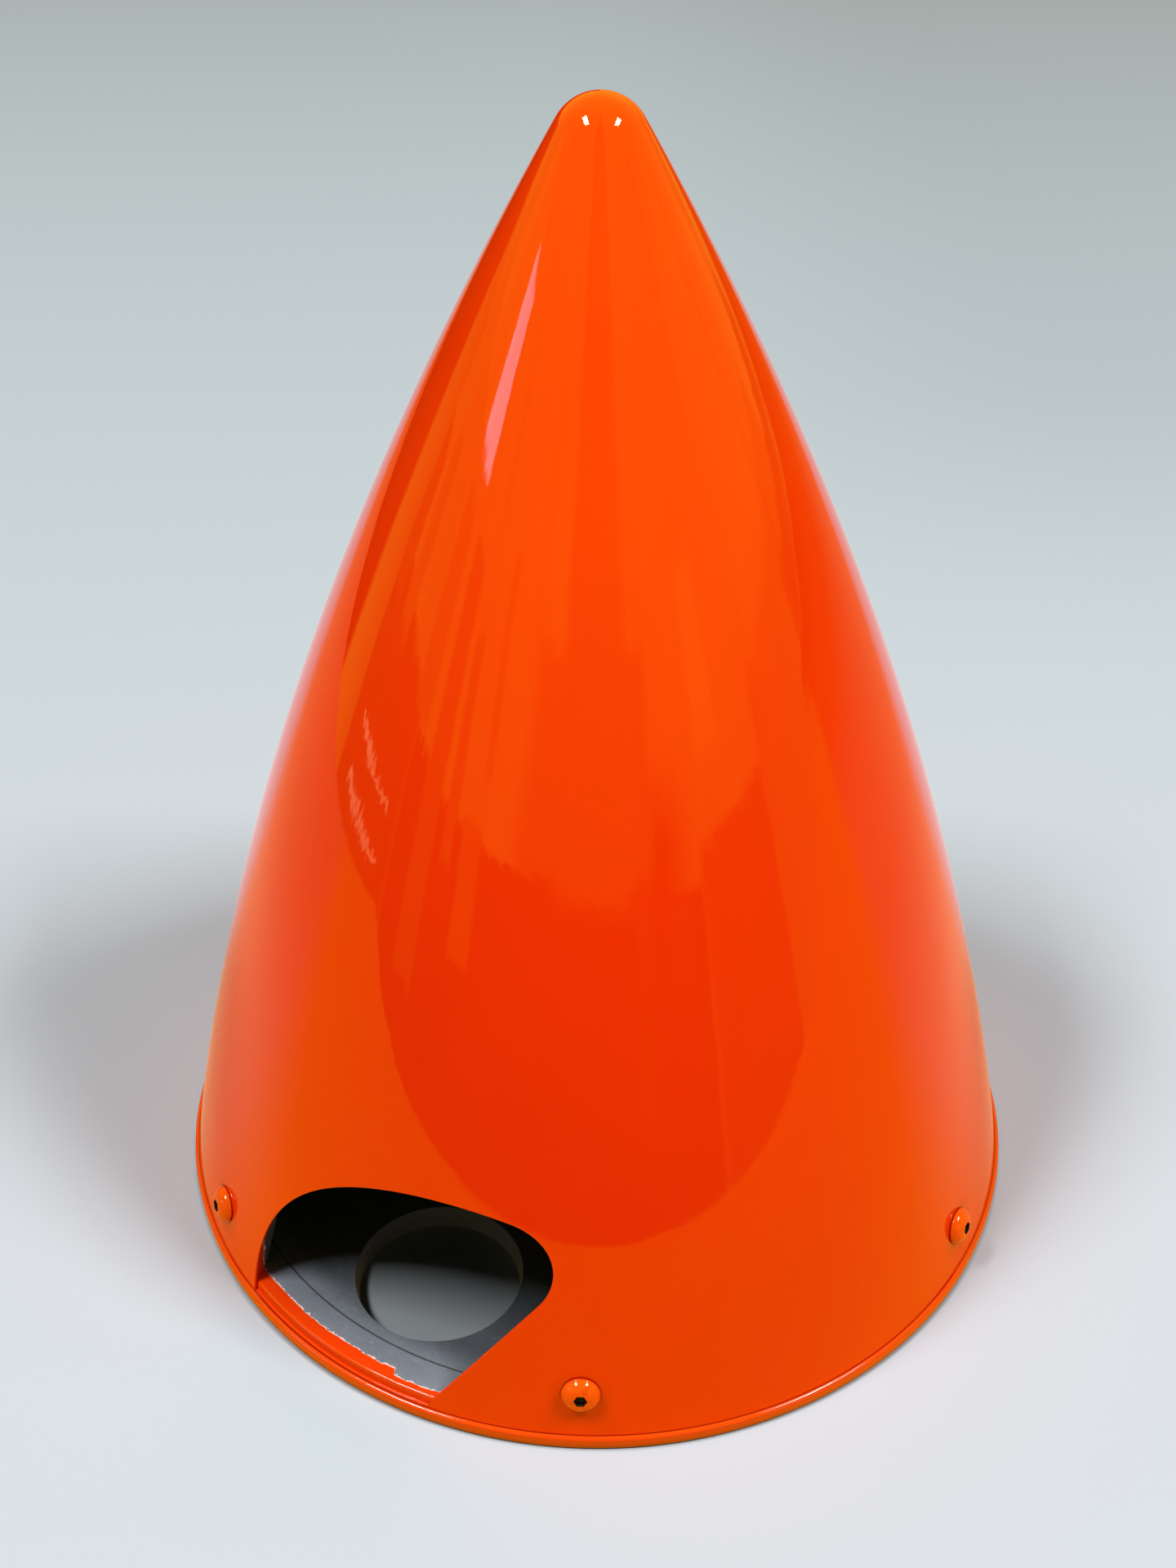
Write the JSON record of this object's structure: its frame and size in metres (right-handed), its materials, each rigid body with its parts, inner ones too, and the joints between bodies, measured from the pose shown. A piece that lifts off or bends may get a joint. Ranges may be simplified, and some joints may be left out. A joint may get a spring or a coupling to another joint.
{
  "type": "propeller spinner",
  "caption": "Pointed ogive nose cone for a two-blade propeller, with airfoil-shaped blade openings, on a round backplate, held by button-head screws.",
  "frame": {"origin": "on the spinner's axis, at the rear face of the backplate", "axes": "+Z along the propeller's axis towards the tip; the blades leave along -Y and +Y; +X completes the right-handed frame"},
  "size_m": [0.23, 0.23, 0.2918],
  "materials": {
    "gloss_orange_paint": "high-gloss orange paint over a thin laminated shell",
    "matte_laminate": "matte charcoal moulded laminate, with the rim and spigot painted gloss orange",
    "painted_screw": "steel button-head screw painted over in gloss orange, with a dark socket",
    "plated_steel": "zinc-plated steel anchor nut",
    "rivet_metal": "plain aluminium rivet"
  },
  "bodies": {
    "root": {"nose_cone": "gloss_orange_paint", "backplate": "matte_laminate", "cone_screw_1": "painted_screw", "cone_screw_2": "painted_screw", "cone_screw_3": "painted_screw", "cone_screw_4": "painted_screw", "cone_screw_5": "painted_screw", "cone_screw_6": "painted_screw", "nut_plate_1": "plated_steel", "nut_plate_2": "plated_steel", "nut_plate_3": "plated_steel", "nut_plate_4": "plated_steel", "nut_plate_5": "plated_steel", "nut_plate_6": "plated_steel", "nut_plate_rivets_1": "rivet_metal", "nut_plate_rivets_2": "rivet_metal", "nut_plate_rivets_3": "rivet_metal", "nut_plate_rivets_4": "rivet_metal", "nut_plate_rivets_5": "rivet_metal", "nut_plate_rivets_6": "rivet_metal"}
  },
  "joints": []
}
